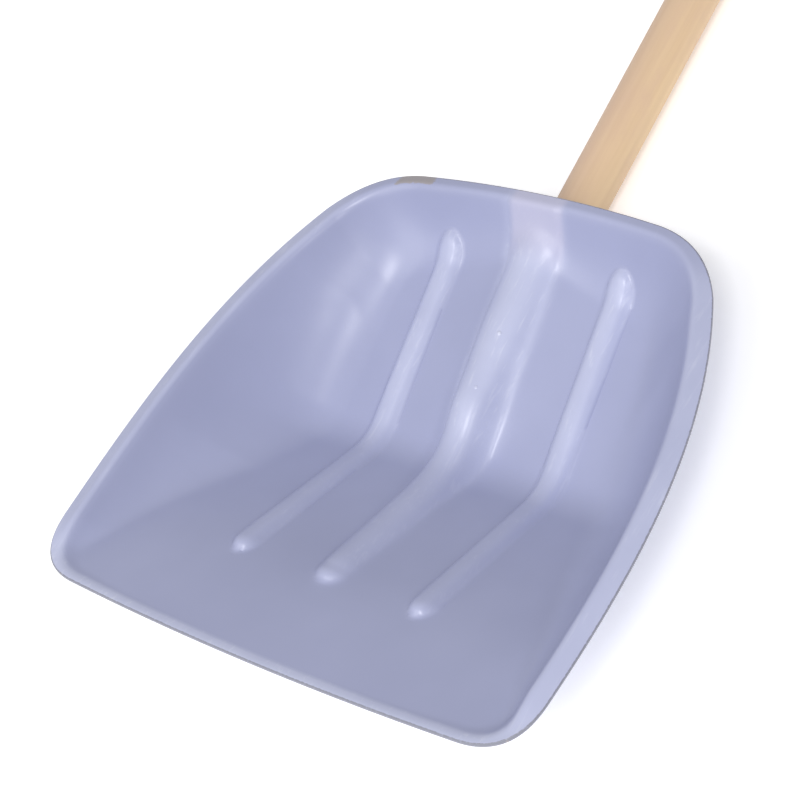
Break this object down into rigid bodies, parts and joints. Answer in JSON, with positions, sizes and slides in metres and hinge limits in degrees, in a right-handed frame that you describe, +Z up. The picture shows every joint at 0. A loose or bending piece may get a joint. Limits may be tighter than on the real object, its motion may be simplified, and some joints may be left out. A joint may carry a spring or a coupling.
{
  "type": "snow shovel",
  "caption": "Snow shovel with a moulded, ribbed scoop, an out-turned lip and a tapered socket holding a long round wooden handle.",
  "frame": {"origin": "centre of the whole shovel's bounding box in X and Y, at its lowest point in Z, with the shovel lying face up", "axes": "+Y along the handle away from the scoop, +X to the shovel's right with the scoop face up, +Z up"},
  "size_m": [0.3688, 1.4012, 0.0961],
  "materials": {
    "scoop_plastic": "smooth semi-gloss moulded plastic, lavender blue-grey, lightly scuffed at the rim",
    "handle_wood": "plain turned pale wood, unvarnished, with soft grain",
    "screw_steel": "zinc-plated steel"
  },
  "bodies": {
    "root": {"scoop": "scoop_plastic", "handle": "handle_wood", "screw_1": "screw_steel", "screw_2": "screw_steel"}
  },
  "joints": []
}
